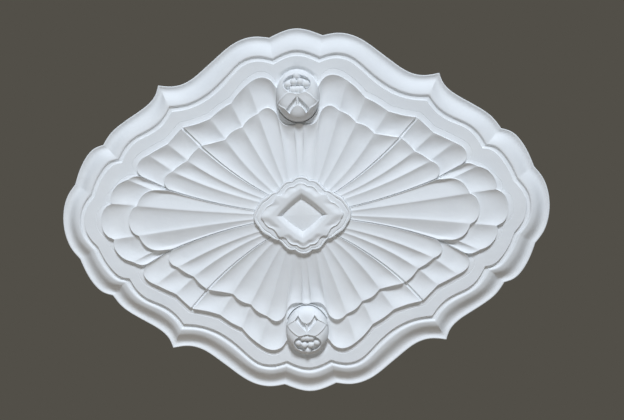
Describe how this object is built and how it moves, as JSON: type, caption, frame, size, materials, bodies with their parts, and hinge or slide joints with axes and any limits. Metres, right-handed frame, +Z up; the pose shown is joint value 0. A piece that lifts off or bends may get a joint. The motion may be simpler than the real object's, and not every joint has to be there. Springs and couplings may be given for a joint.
{
  "type": "ceiling rose",
  "caption": "Oval ceiling rose in white plaster with fans of flutes, a bud at each short end, a lobed moulding round the edge and a lozenge plaque with a sunk seat for a lamp.",
  "frame": {"origin": "middle of the flat back, where the rose lies against the ceiling", "axes": "+Z up into the ceiling, so the carved face looks down along -Z; +X along the long axis; +Y along the short axis, through both buds"},
  "size_m": [1, 0.748, 0.0593],
  "materials": {
    "plaster": "matt white gypsum plaster"
  },
  "bodies": {
    "root": {"ceiling_rose": "plaster"}
  },
  "joints": []
}
